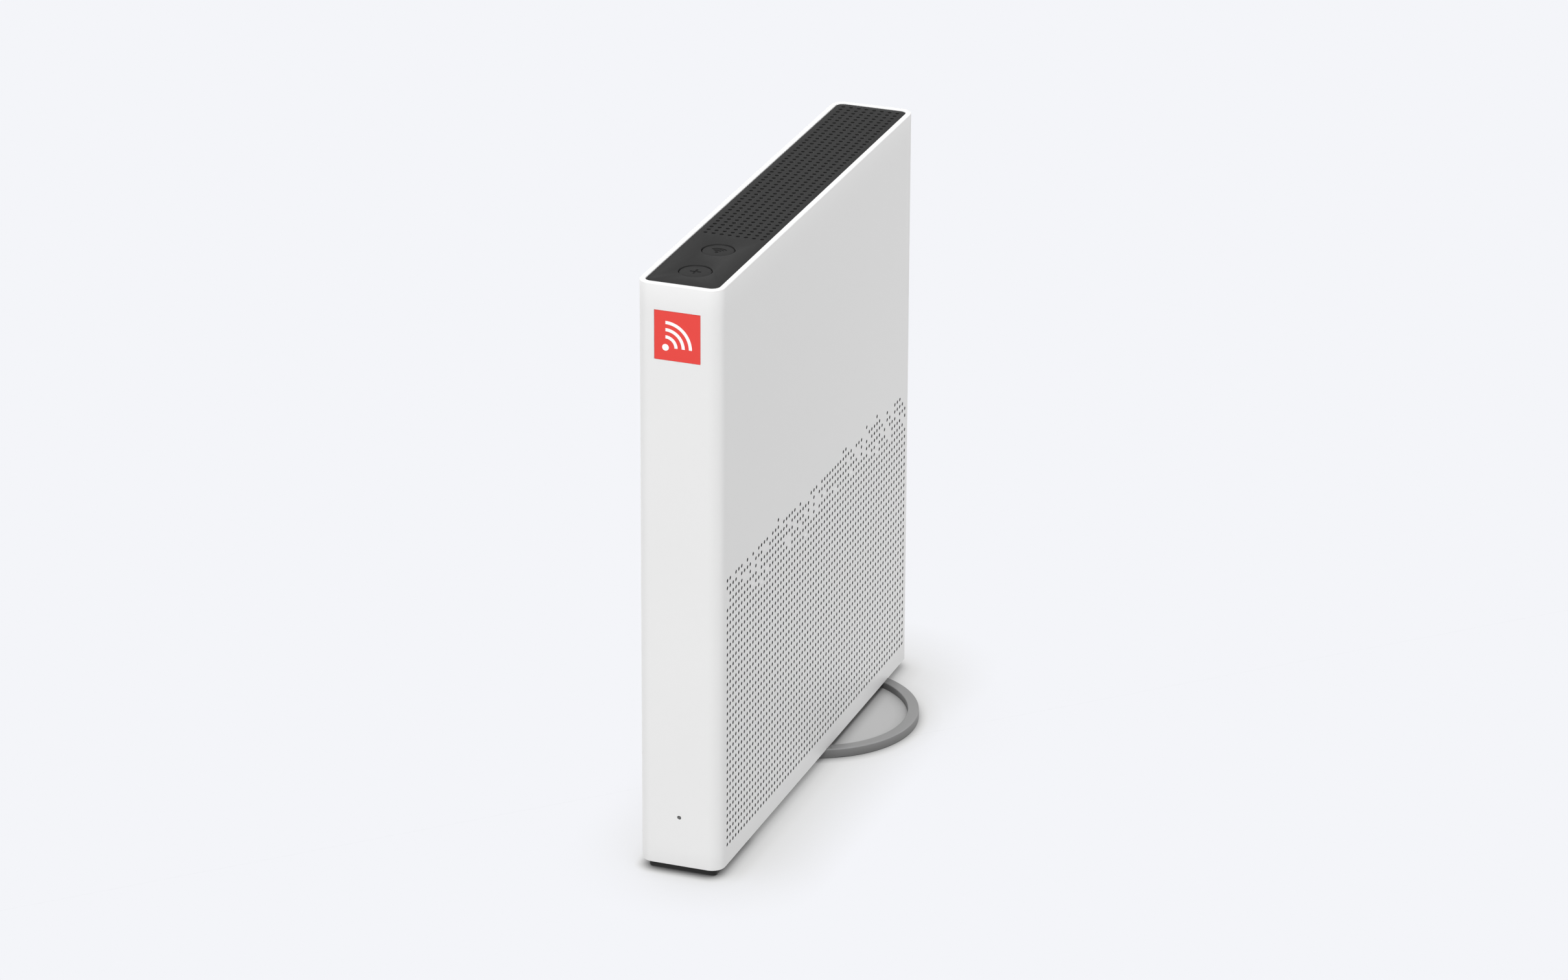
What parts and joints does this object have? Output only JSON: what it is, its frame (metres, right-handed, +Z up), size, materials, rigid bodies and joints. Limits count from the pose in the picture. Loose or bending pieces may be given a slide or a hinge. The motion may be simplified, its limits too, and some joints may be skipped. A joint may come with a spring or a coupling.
{
  "type": "wireless router",
  "caption": "Slim upright wireless router with a perforated moulded case, push buttons on top, sockets at the back, and a round stand that steadies the rear half.",
  "frame": {"origin": "centre of the case's footprint, on the floor", "axes": "+Z up, -Y towards the narrow front with the badge, +X towards the case's right-hand side"},
  "size_m": [0.08, 0.213, 0.2365],
  "materials": {
    "case_white": "satin moulded plastic",
    "panel_grey": "fine matte texture",
    "button_grey": "fine matte texture",
    "icon_dark": "matte",
    "badge_coral": "satin",
    "mark_white": "satin",
    "guide_smoke": "smoked clear",
    "inner_plastic": "matte",
    "foot_black": "matte",
    "ring_grey": "satin",
    "plate_grey": "satin",
    "pad_rubber": "matte",
    "steel": "plated",
    "board_green": "solder mask",
    "chip_black": "matte",
    "pad_blue": "matte",
    "aluminium": "extruded",
    "gold": "gold flash",
    "antenna_film": "etched laminate",
    "lead_black": "satin",
    "can_blue": "sleeved",
    "socket_black": "moulded",
    "socket_blue": "moulded",
    "actuator_cream": "moulded",
    "flex_cream": "film",
    "led_cream": "lens"
  },
  "bodies": {
    "router": {"sleeve": "case_white", "side_grille_right": "case_white", "side_grille_left": "case_white", "top_panel": "panel_grey", "base_cover": "plate_grey", "badge": "badge_coral", "badge_symbol": "mark_white", "light_guide": "guide_smoke", "io_panel": "inner_plastic", "front_foot": "foot_black", "stand_ring": "ring_grey", "stand_plate": "plate_grey", "stand_neck": "ring_grey", "stand_pad": "pad_rubber", "stand_screws": "steel", "base_screws": "steel", "button_board": "board_green", "button_board_screws": "steel", "tact_switches": "chip_black", "button_flex": "flex_cream", "board_frame": "inner_plastic", "board_screws": "steel", "main_board": "board_green", "processor": "chip_black", "thermal_pad": "pad_blue", "heat_sink": "aluminium", "heat_sink_screws": "steel", "memory_chips": "chip_black", "radio_shields": "steel", "power_coils": "chip_black", "capacitors": "can_blue", "line_transformers": "chip_black", "flex_sockets": "actuator_cream", "status_led": "led_cream", "antenna_boards": "antenna_film", "antenna_leads": "lead_black", "coax_sockets": "gold", "power_inlet": "socket_black", "inlet_pin": "gold", "power_switch_body": "socket_black", "reset_switch": "chip_black", "usb_port": "steel", "usb_tongue": "socket_blue", "wan_jack": "socket_blue", "lan_jack_1": "socket_black", "lan_jack_2": "socket_black", "lan_jack_3": "socket_black", "lan_jack_4": "socket_black", "jack_contacts": "gold"},
    "front_button": {"button_front": "button_grey", "button_front_icon": "icon_dark", "plunger_front": "actuator_cream"},
    "rear_button": {"button_rear": "button_grey", "button_rear_icon": "icon_dark", "plunger_rear": "actuator_cream"},
    "rocker": {"power_rocker": "button_grey"},
    "reset_button": {"reset_plunger": "actuator_cream"}
  },
  "joints": [
    {"name": "front_button_press", "type": "slide", "parent": "router", "child": "front_button", "axis": [0, 0, -1], "range_m": [0, 0.0005], "stiffness_N_per_m": 400},
    {"name": "rear_button_press", "type": "slide", "parent": "router", "child": "rear_button", "axis": [0, 0, -1], "range_m": [0, 0.0005], "stiffness_N_per_m": 400},
    {"name": "power_rocker_tilt", "type": "hinge", "parent": "router", "child": "rocker", "pos_m": [-0.00125, 0.1014, 0.0575], "axis": [1, 0, 0], "range_deg": [0, 16]},
    {"name": "reset_press", "type": "slide", "parent": "router", "child": "reset_button", "axis": [0, -1, 0], "range_m": [0, 0.0003], "stiffness_N_per_m": 400}
  ]
}
